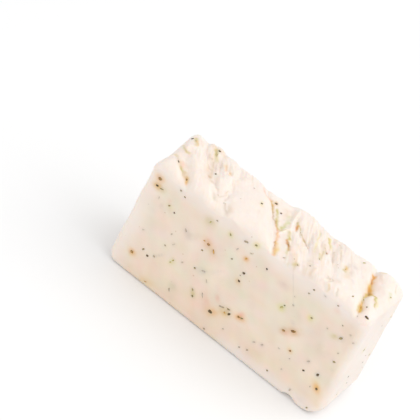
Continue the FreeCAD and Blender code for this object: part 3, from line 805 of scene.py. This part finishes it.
def bar_surface(sizes):
    """The whole skin of the bar as points in millimetres and quads.

    The top is a grid over the base's outline. Its edge ring is carried down as the walls, drawn in near the
    base by the rounded feet, and the ring at the bottom shrinks to a line along the middle of the base.
    """
    band = sizes.lip_reach / MM
    xs = even_arc(HALF_LENGTH, band, GRID_STEP)
    ys = even_arc(HALF_THICKNESS, band, GRID_STEP)
    x, y = (part.ravel() for part in np.meshgrid(xs, ys, indexing="ij"))
    x, y = round_corners(x, y, sizes.left_corner / MM, sizes.right_corner / MM)
    top = np.stack([x, y, top_height(x, y, sizes)], 1)
    nx, ny = len(xs), len(ys)
    index = np.arange(nx * ny).reshape(nx, ny)
    rim = top[np.concatenate([index[:, 0], index[-1, 1:], index[-2::-1, -1], index[0, -2:0:-1]])]
    foot_zone = sizes.right_foot / MM
    low = foot_zone * (1.0 - np.cos(np.linspace(0.0, np.pi / 2.0, FOOT_ROWS)))
    high = np.linspace(0.0, 1.0, WALL_ROWS)[-2:0:-1, None]
    heights = np.concatenate([
        rim[None, :, 2] * high + foot_zone * (1.0 - high),
        np.repeat(low[::-1, None], len(rim), 1),
    ])
    foot = np.where(rim[:, 0] < 0.0, sizes.left_foot / MM, foot_zone)
    wall_x = rim[None, :, 0] * (1.0 - inset(heights, foot[None, :]) / HALF_LENGTH)
    wall_y = rim[None, :, 1] * (1.0 - inset(heights, sizes.base_edge / MM) / HALF_THICKNESS)
    walls = np.stack([wall_x, wall_y, heights], -1)
    bottom = walls[-1]
    spine_half = HALF_LENGTH - foot_zone - HALF_THICKNESS
    spine = np.stack([np.clip(bottom[:, 0], -spine_half, spine_half), 0 * foot, 0 * foot], 1)
    shrink = np.linspace(0.0, 1.0, BASE_ROWS)[1:, None, None]
    sleeve = np.concatenate([rim[None], walls, bottom[None] * (1.0 - shrink) + spine[None] * shrink])
    points = np.concatenate([top, sleeve.reshape(-1, 3)])
    sleeve_quads = grid_faces(len(sleeve), len(rim), True) + len(top)
    return points, np.concatenate([grid_faces(nx, ny, False), sleeve_quads])


def dent(along, z, out, depth, use):
    """How far dents draw a pair of faces in: depth times half of (1 + noise), with the sign of the side."""
    flat = np.stack([along, z + SIDES_APART * np.sign(out)], 1)
    return np.sign(out) * depth * (0.5 + 0.5 * np.clip(soft_noise(flat, use), -1.0, 1.0))


def wear(points, sizes):
    """Small unevenness of the cut faces, the lean of the left end and the chip in the front base edge.

    The lean is a shear that fades out along the bar. Points inside the chip's ball move straight out to its
    surface.
    """
    x, y, z = points.T.copy()
    side = smooth_step(np.abs(y), HALF_THICKNESS - 1.5, HALF_THICKNESS - 0.2) * smooth_step(z, 0.5, 4.0)
    side *= 1.0 - smooth_step(z, 42.0, 47.0)
    y -= dent(x, z, y, side * FACE_DENT, "face dents")
    end = smooth_step(np.abs(x), HALF_LENGTH - 2.5, HALF_LENGTH - 0.5) * smooth_step(z, 1.0, 6.0)
    x -= dent(y, z, x, end * END_DENT, "end dents")
    foot, tall = sizes.left_foot / MM, sizes.height_left / MM
    lean = sizes.left_end_lean / MM * np.clip((z - foot) / (tall - foot), 0.0, 1.1)
    x += lean * smooth_step(-x, HALF_LENGTH - 15.0, HALF_LENGTH)
    points = np.stack([x, y, z], 1)
    away = (CHIP_RADIUS - CHIP_DEPTH) / math.sqrt(2.0)
    centre = np.array([CHIP_X, -HALF_THICKNESS - away, -away])
    out = points - centre
    far = np.linalg.norm(out, axis=1)
    inside = far < CHIP_RADIUS
    points[inside] = centre + out[inside] * (CHIP_RADIUS / far[inside])[:, None]
    points[:, 2] = np.maximum(points[:, 2], BASE_LIFT)
    return points


def heading(tilt):
    """The cosine and the sine of a tilt in degrees."""
    return math.cos(math.radians(tilt)), math.sin(math.radians(tilt))


def hidden_flecks(choices):
    """Flecks scattered over the faces that the camera doesn't see first, told as fleck_list tells them."""
    rng = np.random.default_rng(choices.seed)
    count = choices.hidden_count
    faces = rng.choice(list(HIDDEN_FACES), count, p=list(HIDDEN_FACES.values()))
    kinds = rng.choice(list(HIDDEN_KINDS), count, p=list(HIDDEN_KINDS.values()))
    places = rng.uniform(-1.0, 1.0, (count, 2))
    lengths = rng.uniform(0.45, 1.0, count) + 1.1 * rng.uniform(0.0, 1.0, count) ** 4
    shapes = rng.uniform(0.4, 0.9, count)
    tilts = rng.uniform(0.0, 180.0, count)
    for face, kind, place, length, shape, tilt in zip(faces, kinds, places, lengths, shapes, tilts):
        (u, v), (c, s) = place * HIDDEN_SPANS[face], heading(tilt)
        goal, along = (OUTWARD[face][0] * HALF_LENGTH, u, HIDDEN_MIDDLE + v), (0, c, s)
        if face == "back":
            goal, along = (u, HALF_THICKNESS, HIDDEN_MIDDLE + v), (c, 0, s)
        if face == "base":
            goal, along = (u, v, 0.0), (c, s, 0)
        yield goal, OUTWARD[face], along, length, length * shape, str(kind)


def fleck_list(choices):
    """Every fleck as (target point, outward normal, direction along it, length, width, kind)."""
    for x, z, length, width, tilt, kind in FRONT_FLECKS:
        c, s = heading(tilt)
        yield (x, -HALF_THICKNESS, z), (0, -1, 0), (c, 0, s), length, width, kind
    for x, y, length, width, tilt, kind in TOP_FLECKS:
        c, s = heading(tilt)
        yield (x, y, None), (0, 0, 1), (c, s, 0), length, width, kind
    yield from hidden_flecks(choices)


def change(share, use):
    """A named change of red, green and blue, times a share at each point."""
    return share[:, None] * np.array(CHANGES[use])


def blend(tint, colour, share):
    """Mixes the colour of a stain into the tint by a share at each point."""
    share = np.clip(share, 0.0, 1.0)[:, None]
    return tint * (1.0 - share) + np.array(BLEED[colour]) * share


def streaks(x, y, crown):
    """Paler and darker, rosy and greenish threads along the stroke, strongest where the spoon combed."""
    place = drawn_out(x, y, *THREAD_DRAW)
    combed = np.exp(-((x - COMB_X) / COMB_REACH) ** 4)
    combed = combed + 0.45 * np.exp(-((x - LEFT_COMB_X) / COMB_REACH) ** 4) + 0.15
    depth = change(np.minimum(soft_noise(place, "dark threads"), 0.0), "dark threads")
    hue = change(soft_noise(place, "rosy threads"), "rosy threads")
    return 1.0 + (crown * combed)[:, None] * (depth + hue)


def clouds(points, pale):
    """Rosy, greenish and darker clouds in the cut faces, a few millimetres wide: 1 plus three noises."""
    uses = ("rosy clouds", "green clouds", "dark clouds")
    return 1.0 + (1.0 - pale[:, None]) * sum(change(soft_noise(points, use), use) for use in uses)


def skin_and_painted_light(x, z, crown):
    """How far the soap is pale skin, 1, or cut, 0: the top and the ends are dried skin, paler also as painted
    highlight; the upper and left front edges are painted highlight, the low front right painted light against
    the base's shade.
    """
    right_end = smooth_step(x, HALF_LENGTH - 3.2, HALF_LENGTH - 0.4)
    left_end = smooth_step(-x, HALF_LENGTH - 2.2, HALF_LENGTH - 0.3) * 0.6
    # Painted highlight on the rolled upper edge and the left of the front, and painted light that lifts the
    # shade by the base
    upper_edge = smooth_step(z, 38.5, 45.5)
    left_edge = 0.85 * smooth_step(-x, HALF_LENGTH - 10.0, HALF_LENGTH - 2.5)
    lower_edge = (1.0 - smooth_step(z, 2.0, 7.5)) * smooth_step(x, -2.0, 8.0)
    return np.maximum.reduce([crown, right_end, left_end, upper_edge, left_edge, lower_edge])


def stain_the_top(tint, x, y, crown, uneven):
    """Mixes in the stains along the creases of the top, and the painted shade in its creases, grooves and
    hollows.
    """
    for path, half_width, strength, colour in TOP_STAINS:
        near = soft_line(x, y, path, half_width) * crown
        tint = blend(tint, colour, strength * near * uneven)
    return tint


def stain_the_front(tint, x, y, z, uneven):
    """Mixes in the halos, a faint darker halo round each fleck and the scratches of the front cut face."""
    facing = smooth_step(-y, HALF_THICKNESS - 2.5, HALF_THICKNESS - 0.5)
    for centre_x, centre_z, half_length, half_width, tilt, strength, colour in FRONT_STAINS:
        along, across = turned(x - centre_x, z - centre_z, math.radians(tilt))
        u, v = along / half_length, across / half_width
        tint = blend(tint, colour, strength * np.exp(-(u * u + v * v)) * facing * uneven)
    for centre_x, centre_z, length, *_ in FRONT_FLECKS:
        apart = (x - centre_x) ** 2 + (z - centre_z) ** 2
        tint = blend(tint, "shade", 0.3 * np.exp(-apart / (0.2 + 0.6 * length) ** 2) * facing)
    for path, half_width, strength, colour in FRONT_SCRATCHES:
        near = soft_line(x, z, path, half_width) * facing
        tint = blend(tint, colour, strength * near * uneven)
    return tint


def stain_the_rest(tint, points, crown, uneven, choices):
    """Mixes in the halos of the flecks scattered over the other faces."""
    for goal, outward, _, length, _, kind in hidden_flecks(choices):
        if kind not in HALOS:
            continue
        goal, outward = np.array(goal), np.array(outward)
        near = (points @ outward > goal @ outward - 3.0) * (1.0 - crown)
        apart = ((points - goal) ** 2 * (1.0 - np.abs(outward))).sum(1)
        colour, strength, spread = HALOS[kind]
        tint = blend(tint, colour, strength * np.exp(-apart / (spread * length) ** 2) * near * uneven)
    return tint


def bleed_colour(points, up, colours, choices):
    """The soap's colour at each point, from the cut faces to the paler skin with its painted highlight, with
    the stains and the painted shade of the top mixed in.

    A stain along a path fades as exp(-(distance / half width)^2) from its line, and a halo as the same of its
    two axes. Noise makes each uneven, and the stronger the share, the nearer the colour is to the stain.
    """
    x, y, z = points.T
    crown = smooth_step(up, 0.25, 0.75)
    # Paler skin, which also carries painted highlight and painted light against the base's shade
    pale = skin_and_painted_light(x, z, crown)
    tint = np.array(colours.cut_face) * (1.0 - pale[:, None]) + np.array(colours.skin) * pale[:, None]
    tint *= 1.0 + change(smooth_step(-x, 24.0, HALF_LENGTH) * (1.0 - crown), "left end")
    tint *= 1.0 + change((1.0 - smooth_step(z, 2.0, 20.0)) * (1.0 - pale), "low down")
    edges, patches = soft_noise(points, "stain edges"), soft_noise(points, "stain patches")
    uneven = 1.0 + STAIN_UNEVENNESS * edges + STAIN_UNEVENNESS * patches
    wander_x = x + STAIN_WANDER * soft_noise(points, "stain wander x")
    wander_y = y + STAIN_WANDER * soft_noise(points, "stain wander y")
    tint = stain_the_top(tint, wander_x, wander_y, crown, uneven) * streaks(x, y, crown)
    tint = stain_the_front(tint, x, y, z, uneven)
    tint = stain_the_rest(tint, points, crown, uneven, choices)
    return tint * clouds(points, pale)


def place_in_scene(name, data):
    """A new object with its data, linked to the scene."""
    thing = bpy.data.objects.new(name, data)
    bpy.context.scene.collection.objects.link(thing)
    return thing


def mesh_object(name, points, faces, material):
    """A closed mesh object from points in metres, its doubled points merged and its faces smooth."""
    mesh = bpy.data.meshes.new(name)
    mesh.from_pydata(points.tolist(), [], [list(face) for face in faces])
    work = bmesh.new()
    work.from_mesh(mesh)
    bmesh.ops.remove_doubles(work, verts=work.verts, dist=MERGE_DISTANCE)
    bmesh.ops.dissolve_degenerate(work, edges=work.edges, dist=MERGE_DISTANCE)
    work.to_mesh(mesh)
    work.free()
    mesh.shade_smooth()
    mesh.materials.append(material)
    return place_in_scene(name, mesh)


def mesh_arrays(mesh):
    """The points, in millimetres, and the normals of a mesh as arrays."""
    points = np.empty(len(mesh.vertices) * 3)
    mesh.vertices.foreach_get("co", points)
    normals = np.empty(len(mesh.vertices) * 3)
    mesh.vertex_normals.foreach_get("vector", normals)
    return points.reshape(-1, 3) / MM, normals.reshape(-1, 3)


def write_colour(mesh, name, colours):
    """Stores one colour for each point of a mesh."""
    layer = mesh.color_attributes.new(name, "FLOAT_COLOR", "POINT")
    opaque = np.concatenate([colours, np.ones((len(colours), 1))], 1)
    layer.data.foreach_set("color", opaque.astype(np.float32).ravel())


class Nodes:
    """A node tree, emptied, with short ways to add and join nodes."""

    def __init__(self, tree):
        self.tree = tree
        tree.nodes.clear()

    def add(self, kind, inputs, **settings):
        """Adds a node with its settings, and gives each input a plain value or joins it to a socket."""
        node = self.tree.nodes.new(kind)
        for name, value in settings.items():
            setattr(node, name, value)
        for name, value in inputs.items():
            if isinstance(value, bpy.types.NodeSocket):
                self.tree.links.new(value, node.inputs[name])
            else:
                node.inputs[name].default_value = value
        return node

    def finish(self, shader, kind="Material"):
        """Joins a shader node to the tree's output, a material's or the world's."""
        self.add(f"ShaderNodeOutput{kind}", {"Surface": shader.outputs[0]})

    def maths(self, operation, first, second):
        """An operation on two values, each a socket or a plain number."""
        return self.add("ShaderNodeMath", {0: first, 1: second}, operation=operation).outputs["Value"]

    def ramp(self, source, stops):
        """A colour ramp over a value, from a list of place and colour."""
        node = self.add("ShaderNodeValToRGB", {"Fac": source})
        elements = node.color_ramp.elements
        while len(elements) < len(stops):
            elements.new(0.5)
        for element, (place, colour) in zip(elements, stops):
            element.position = place
            element.color = (*colour, 1.0)
        return node.outputs["Color"]

    def mix(self, kind, share, first, second):
        """Mixes two colour sockets in a way of the mix node's, by a share."""
        inputs = {0: share, 6: first, 7: second}
        return self.add("ShaderNodeMix", inputs, data_type="RGBA", blend_type=kind).outputs[2]

    def noise(self, place, scale, detail=2.0, roughness=0.5):
        """Procedural noise at a scale in bumps per metre."""
        inputs = {"Vector": place, "Scale": scale, "Detail": detail, "Roughness": roughness}
        return self.add("ShaderNodeTexNoise", inputs).outputs["Fac"]

    def spread(self, value, low, high, start=0.0, end=1.0):
        """Maps a value from the range start to end onto the range low to high."""
        inputs = {"Value": value, "From Min": start, "From Max": end, "To Min": low, "To Max": high}
        return self.add("ShaderNodeMapRange", inputs).outputs["Result"]

    def bump(self, height, strength, distance):
        """Normals bent by a height, whose full rise is a distance in metres."""
        inputs = {"Height": height, "Strength": strength, "Distance": distance}
        return self.add("ShaderNodeBump", inputs).outputs["Normal"]

    def object_place(self):
        """The place in the object's own frame."""
        return self.add("ShaderNodeTexCoord", {}).outputs["Object"]

    def shown_rays(self):
        """One for the rays that reach the picture: the camera's, and those off gloss or through glass."""
        path = self.add("ShaderNodeLightPath", {}).outputs
        shown = self.maths("MAXIMUM", path["Is Camera Ray"], path["Is Glossy Ray"])
        return self.maths("MAXIMUM", shown, path["Is Transmission Ray"])


def new_material(name):
    """A new material and its nodes."""
    material = bpy.data.materials.new(name)
    material.use_nodes = True
    return material, Nodes(material.node_tree)


def soap_material():
    """Cream soap: the mesh's bled colour, mottling, fine specks, light under the skin and a waxy sheen."""
    material, n = new_material("cream_soap")
    place = n.object_place()
    bled = n.add("ShaderNodeVertexColor", {}, layer_name="bled").outputs["Color"]
    colour = n.mix("MULTIPLY", 1.0, bled, n.ramp(n.noise(place, 75.0, 3.0), MOTTLING))
    colour = n.mix("MULTIPLY", 1.0, colour, n.ramp(n.noise(place, 160.0, 1.0), BLUSH))
    cells = n.add("ShaderNodeTexVoronoi", {"Vector": place, "Scale": 330.0}).outputs
    dot = n.spread(cells["Distance"], 0.45, 0.0, 0.05, 0.12)
    pick = n.add("ShaderNodeSeparateColor", {"Color": cells["Color"]}).outputs
    shown = n.maths("MULTIPLY", dot, n.maths("LESS_THAN", pick["Red"], 0.22))
    n.finish(n.add("ShaderNodeBsdfPrincipled", {
        "Base Color": n.mix("MIX", shown, colour, n.ramp(pick["Green"], SPECKS)),
        "Subsurface Weight": 0.6,
        "Subsurface Radius": (1.0, 0.74, 0.55),
        "Subsurface Scale": 0.0018,
        "Specular IOR Level": 0.42,
        "IOR": 1.45,
        "Roughness": n.spread(n.noise(place, 420.0), 0.40, 0.56),
        "Normal": n.bump(n.noise(place, 750.0, 3.0, 0.6), 0.22, 0.0003),
    }))
    return material


def fleck_material(name, dark, light, roughness):
    """A dried fleck: two colours mottled through it, a little rough."""
    material, n = new_material(name)
    place = n.object_place()
    n.finish(n.add("ShaderNodeBsdfPrincipled", {
        "Base Color": n.ramp(n.noise(place, 900.0), [(0.35, dark), (0.65, light)]),
        "Roughness": roughness,
        "Specular IOR Level": 0.3,
        "Normal": n.bump(n.noise(place, 2500.0), 0.3, 0.0001),
    }))
    return material


def flake(centre, normal, along, length, width, thickness, rng):
    """One fleck as a closed lens: an uneven ring of corners between a low crown and a deeper foot.

    Corner k lies at angle 2 pi k / n, at half the length along and half the width across, each times
    (1 + unevenness times a random share).
    """
    one = np.arange(FLAKE_CORNERS)
    angles = 2.0 * np.pi * (one + rng.uniform(-FLAKE_SWAY, FLAKE_SWAY, FLAKE_CORNERS)) / FLAKE_CORNERS
    uneven = 1.0 + FLAKE_UNEVENNESS * rng.uniform(-1.0, 1.0, FLAKE_CORNERS)
    ways_along = np.outer(np.cos(angles) * uneven * length / 2.0, along)
    ways_across = np.outer(np.sin(angles) * uneven * width / 2.0, np.cross(normal, along))
    ring = centre + normal * FLAKE_PROUD + (ways_along + ways_across)
    crown = centre + normal * (FLAKE_PROUD + FLAKE_CROWN * thickness)
    foot = centre - normal * thickness
    two = (one + 1) % FLAKE_CORNERS
    top, bottom = np.full(FLAKE_CORNERS, FLAKE_CORNERS), np.full(FLAKE_CORNERS, FLAKE_CORNERS + 1)
    faces = np.concatenate([np.stack([one, two, top], 1), np.stack([two, one, bottom], 1)])
    return np.concatenate([ring, [crown, foot]]), faces


def settle(points, normals, target, outward, along):
    """The place, normal and direction of a fleck laid in the skin at the point nearest its target.

    Only skin that faces the fleck's side counts. A coordinate that the target leaves open follows the skin.
    """
    known = np.array([value is not None for value in target])
    goal = np.array([value if value is not None else 0.0 for value in target])
    gaps = ((points - goal) ** 2)[:, known].sum(1)
    gaps[normals @ np.array(outward, float) < LEAST_FACING] = np.inf
    nearest = int(np.argmin(gaps))
    normal = normals[nearest]
    centre = points[nearest] + (goal - points[nearest]) * known
    centre -= normal * ((centre - points[nearest]) @ normal)
    direction = np.array(along, float)
    direction -= normal * (direction @ normal)
    return centre, normal, direction / np.linalg.norm(direction)


def length_property(name, description, default):
    """A length in metres that the user may change."""
    return FloatProperty(name=name, description=description, default=default, unit="LENGTH")


def colour_property(name, description, default):
    """A colour that the user may change."""
    return FloatVectorProperty(
        name=name, description=description, default=default, subtype="COLOR", min=0.0, max=1.0
    )


def angle_property(name, description, degrees):
    """An angle that the user may change, given in degrees."""
    return FloatProperty(name=name, description=description, default=math.radians(degrees), subtype="ANGLE")


class SoapBarSizes(bpy.types.PropertyGroup):
    """The sizes of the slice, apart from its length and thickness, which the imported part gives."""

    height_left: length_property("Height at the left", "Level of the top at its left end", 0.0466)
    height_right: length_property("Height at the right", "Level of the top at its right end", 0.0486)
    left_end_lean: length_property("Left end lean", "How far the left end leans in at the top", 0.0016)
    left_corner: length_property("Left corners", "Radius of the upright corners at the left", 0.002)
    right_corner: length_property("Right corners", "Radius of the upright corners at the right", 0.0032)
    left_foot: length_property("Left foot", "Radius of the base at the left end", 0.0038)
    right_foot: length_property("Right foot", "Radius of the base at the right end", 0.0065)
    base_edge: length_property("Base edges", "Radius of the long edges of the base", 0.0014)
    lip_drop: length_property("Lip drop", "How far the top rolls down at its edge", 0.0032)
    lip_reach: length_property("Lip reach", "How far in from the edge the roll starts", 0.0052)


class SoapColours(bpy.types.PropertyGroup):
    """The colours of plain soap."""

    cut_face: colour_property("Cut faces", "Soap where the wire cut it", (0.86, 0.745, 0.625))
    # Whiter than the cut faces as dried skin, and also as painted highlight where light catches the top and
    # the right end
    skin: colour_property("Skin", "Soap of the top and the right end", (0.89, 0.80, 0.735))


class SoapFleckChoices(bpy.types.PropertyGroup):
    """The flecks of herb and petal."""

    thickness: length_property("Thickness", "Depth of a fleck below the surface", 0.00016)
    hidden_count: IntProperty(
        name="Other flecks", description="Flecks scattered over the other faces", default=150, min=0
    )
    seed: IntProperty(name="Seed", description="Which scatter of flecks is drawn", default=7)


class SoapStudioChoices(bpy.types.PropertyGroup):
    """The studio and the camera."""

    key_power: FloatProperty(
        name="Key lamp", description="Power of the large lamp above the right end, in watts", default=6.4
    )
    fill_power: FloatProperty(
        name="Fill lamp", description="Power of the large lamp before the front face, in watts", default=1.5
    )
    sky: FloatProperty(name="Sky", description="Strength of the even light from all round", default=0.82)
    floor: colour_property("Floor", "Colour of the floor", (0.86, 0.86, 0.86))
    azimuth: angle_property("Camera azimuth", "Turn of the camera round the bar", 17.949)
    elevation: angle_property("Camera elevation", "Height of the camera above the floor as an angle", 39.807)
    roll: angle_property("Camera roll", "Lean of the picture, as the bar leans in it", 26.093)
    distance: length_property("Camera distance", "From the camera to the middle of the picture", 1.0)
    lens: FloatProperty(
        name="Lens", description="Focal length on a sensor 36 mm wide", default=261.7, unit="CAMERA"
    )


class SOAP_OT_make_bar(bpy.types.Operator):
    """Make the bar of soap in place of its plain solid"""

    bl_idname = "soap.make_bar"
    bl_label = "Make the bar"

    def execute(self, context):
        sizes = context.scene.soap_sizes
        points, faces = bar_surface(sizes)
        bar = mesh_object("poured_bar", wear(points, sizes) * MM, faces, soap_material())
        points, normals = mesh_arrays(bar.data)
        colours = bleed_colour(points, normals[:, 2], context.scene.soap_colours, context.scene.soap_flecks)
        write_colour(bar.data, "bled", colours)
        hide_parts(NODE)
        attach(bar, BODY)
        return {"FINISHED"}


class SOAP_OT_make_flecks(bpy.types.Operator):
    """Set the flecks of herb, petal, seed and chaff into the surface of the bar"""

    bl_idname = "soap.make_flecks"
    bl_label = "Make the flecks"

    def execute(self, context):
        choices = context.scene.soap_flecks
        points, normals = mesh_arrays(bpy.data.objects["poured_bar"].data)
        rng = np.random.default_rng(choices.seed)
        gathered = {kind: ([], []) for kind in FLECK_KINDS}
        for target, outward, along, length, width, kind in fleck_list(choices):
            centre, normal, direction = settle(points, normals, target, outward, along)
            corners, triangles = flake(centre, normal, direction, length, width, choices.thickness / MM, rng)
            corners[:, 2] = np.maximum(corners[:, 2], LEAST_FLECK_HEIGHT)
            kept_points, kept_faces = gathered[kind]
            kept_faces.append(triangles + FLAKE_POINTS * len(kept_points))
            kept_points.append(corners)
        for kind, (name, dark, light, roughness) in FLECK_KINDS.items():
            kept_points, kept_faces = map(np.concatenate, gathered[kind])
            material = fleck_material(f"dried_{kind}", dark, light, roughness)
            piece = mesh_object(name, kept_points * MM, kept_faces, material)
            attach(piece, BODY)
        return {"FINISHED"}


class SOAP_OT_make_studio(bpy.types.Operator):
    """Set up the floor, the lamps, the sky and the camera"""

    bl_idname = "soap.make_studio"
    bl_label = "Make the studio"

    def execute(self, context):
        choices = context.scene.soap_studio
        make_floor(choices)
        area_lamp("key_lamp", Vector(KEY_PLACE), KEY_SIZE, choices.key_power)
        area_lamp("fill_lamp", Vector(FILL_PLACE), FILL_SIZE, choices.fill_power)
        make_sky(choices)
        place_camera(context.scene, choices)
        context.scene.view_settings.view_transform = "Standard"
        return {"FINISHED"}


def make_floor(choices):
    """A plain floor: white to the camera where nothing shades it, with the bar's soft shadow."""
    mesh = bpy.data.meshes.new("floor")
    corners = [(x * FLOOR_HALF, y * FLOOR_HALF, 0) for x, y in ((-1, -1), (1, -1), (1, 1), (-1, 1))]
    mesh.from_pydata(corners, [], [(0, 1, 2, 3)])
    material, n = new_material("pale_floor")
    matt = n.add("ShaderNodeBsdfDiffuse", {"Color": (*choices.floor, 1.0)}).outputs["BSDF"]
    glow = n.add("ShaderNodeEmission", {"Strength": FLOOR_GLOW}).outputs["Emission"]
    both = n.add("ShaderNodeAddShader", {0: matt, 1: glow}).outputs["Shader"]
    n.finish(n.add("ShaderNodeMixShader", {"Fac": n.shown_rays(), 1: matt, 2: both}))
    mesh.materials.append(material)
    floor = place_in_scene("floor", mesh)


def area_lamp(name, place, size, power):
    """A large square lamp at a place, turned to shine at the bar."""
    data = bpy.data.lights.new(name, "AREA")
    data.shape = "SQUARE"
    data.size = size
    data.energy = power
    lamp = place_in_scene(name, data)
    lamp.location = place
    lamp.rotation_euler = (Vector(LAMP_AIM) - place).to_track_quat("-Z", "Y").to_euler()


def make_sky(choices):
    """An even sky at the chosen strength, plain white to the camera and in reflections."""
    world = bpy.data.worlds.new("studio_sky")
    bpy.context.scene.world = world
    world.use_nodes = True
    n = Nodes(world.node_tree)
    lit, white = (
        n.add("ShaderNodeBackground", {"Color": (*WHITE, 1.0), "Strength": strength}).outputs["Background"]
        for strength in (choices.sky, 1.0)
    )
    n.finish(n.add("ShaderNodeMixShader", {"Fac": n.shown_rays(), 1: lit, 2: white}), "World")


def place_camera(scene, choices):
    """The camera: it looks along (-sin a cos e, cos a cos e, -sin e), rolled about that line."""
    a, e, roll = choices.azimuth, choices.elevation, choices.roll
    forward = Vector((-math.sin(a) * math.cos(e), math.cos(a) * math.cos(e), -math.sin(e)))
    level = Vector((math.cos(a), math.sin(a), 0.0))
    upright = level.cross(forward)
    right = level * math.cos(roll) + upright * math.sin(roll)
    up = upright * math.cos(roll) - level * math.sin(roll)
    data = bpy.data.cameras.new("camera")
    data.sensor_width = SENSOR_WIDTH
    data.lens = choices.lens
    camera = place_in_scene("camera", data)
    spot = Vector((0.0, 0.0, AIM_HEIGHT)) + right * AIM_RIGHT + up * AIM_UP - forward * choices.distance
    camera.matrix_world = Matrix.Translation(spot) @ Matrix((right, up, -forward)).transposed().to_4x4()
    scene.camera = camera


class SOAP_PT_panel(bpy.types.Panel):
    """The bar's operators and values"""

    bl_idname = "SOAP_PT_panel"
    bl_label = "Bar of soap"
    bl_space_type = "VIEW_3D"
    bl_region_type = "UI"
    bl_category = "Soap"

    def draw(self, context):
        for operator in OPERATORS:
            self.layout.operator(operator.bl_idname)
        for name in GROUPS:
            group = getattr(context.scene, name)
            box = self.layout.box()
            for key in group.__annotations__:
                box.prop(group, key)


OPERATORS = (SOAP_OT_make_bar, SOAP_OT_make_flecks, SOAP_OT_make_studio)
GROUPS = {
    "soap_sizes": SoapBarSizes,
    "soap_colours": SoapColours,
    "soap_flecks": SoapFleckChoices,
    "soap_studio": SoapStudioChoices,
}


def register():
    for group in GROUPS.values():
        bpy.utils.register_class(group)
    for operator in OPERATORS:
        bpy.utils.register_class(operator)
    bpy.utils.register_class(SOAP_PT_panel)
    for name, group in GROUPS.items():
        setattr(bpy.types.Scene, name, PointerProperty(type=group))


def unregister():
    for name in GROUPS:
        delattr(bpy.types.Scene, name)
    bpy.utils.unregister_class(SOAP_PT_panel)
    for operator in reversed(OPERATORS):
        bpy.utils.unregister_class(operator)
    for group in reversed(list(GROUPS.values())):
        bpy.utils.unregister_class(group)


def main():
    """Makes the whole scene."""
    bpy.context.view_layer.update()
    register()
    bpy.ops.soap.make_bar()
    bpy.ops.soap.make_flecks()
    bpy.ops.soap.make_studio()


if __name__ == "__main__":
    main()
